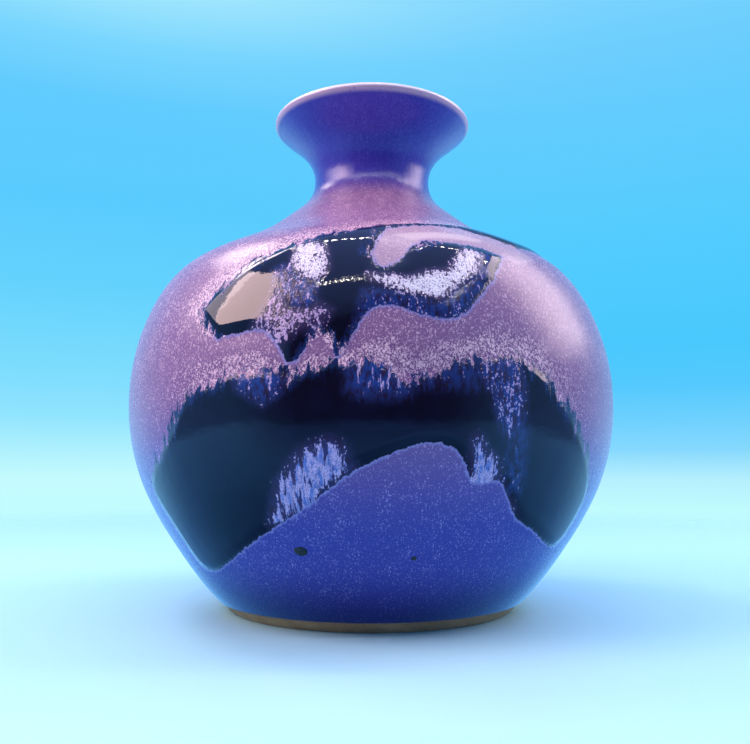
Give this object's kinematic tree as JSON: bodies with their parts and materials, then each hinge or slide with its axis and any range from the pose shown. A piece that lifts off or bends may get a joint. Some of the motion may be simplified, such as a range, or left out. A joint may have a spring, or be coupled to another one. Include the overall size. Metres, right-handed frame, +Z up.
{
  "type": "ceramic bud vase",
  "caption": "Small round-bellied stoneware bud vase with a narrow waisted neck, a flared lip and dark glossy glaze pours over a blue-violet matt glaze.",
  "frame": {"origin": "centre of the foot, on the plane the vase stands on", "axes": "+Z up along the throwing axis, -Y towards the side with the two-lobed pour, +X to the right seen from there"},
  "size_m": [0.1008, 0.1018, 0.105],
  "materials": {
    "stoneware": "bare fired stoneware, matt",
    "liner_glaze": "semi-gloss blue-violet glaze",
    "base_glaze": "satin blue-violet crystalline glaze",
    "dark_pour": "high gloss blue-black glaze",
    "iron": "fused iron blister, dark olive"
  },
  "bodies": {
    "root": {"clay_body": "stoneware", "liner_glaze": "liner_glaze", "base_glaze": "base_glaze", "belly_pour": "dark_pour", "shoulder_pour": "dark_pour", "rear_belly_pour": "dark_pour", "rear_shoulder_pour": "dark_pour", "iron_specks": "iron"}
  },
  "joints": []
}
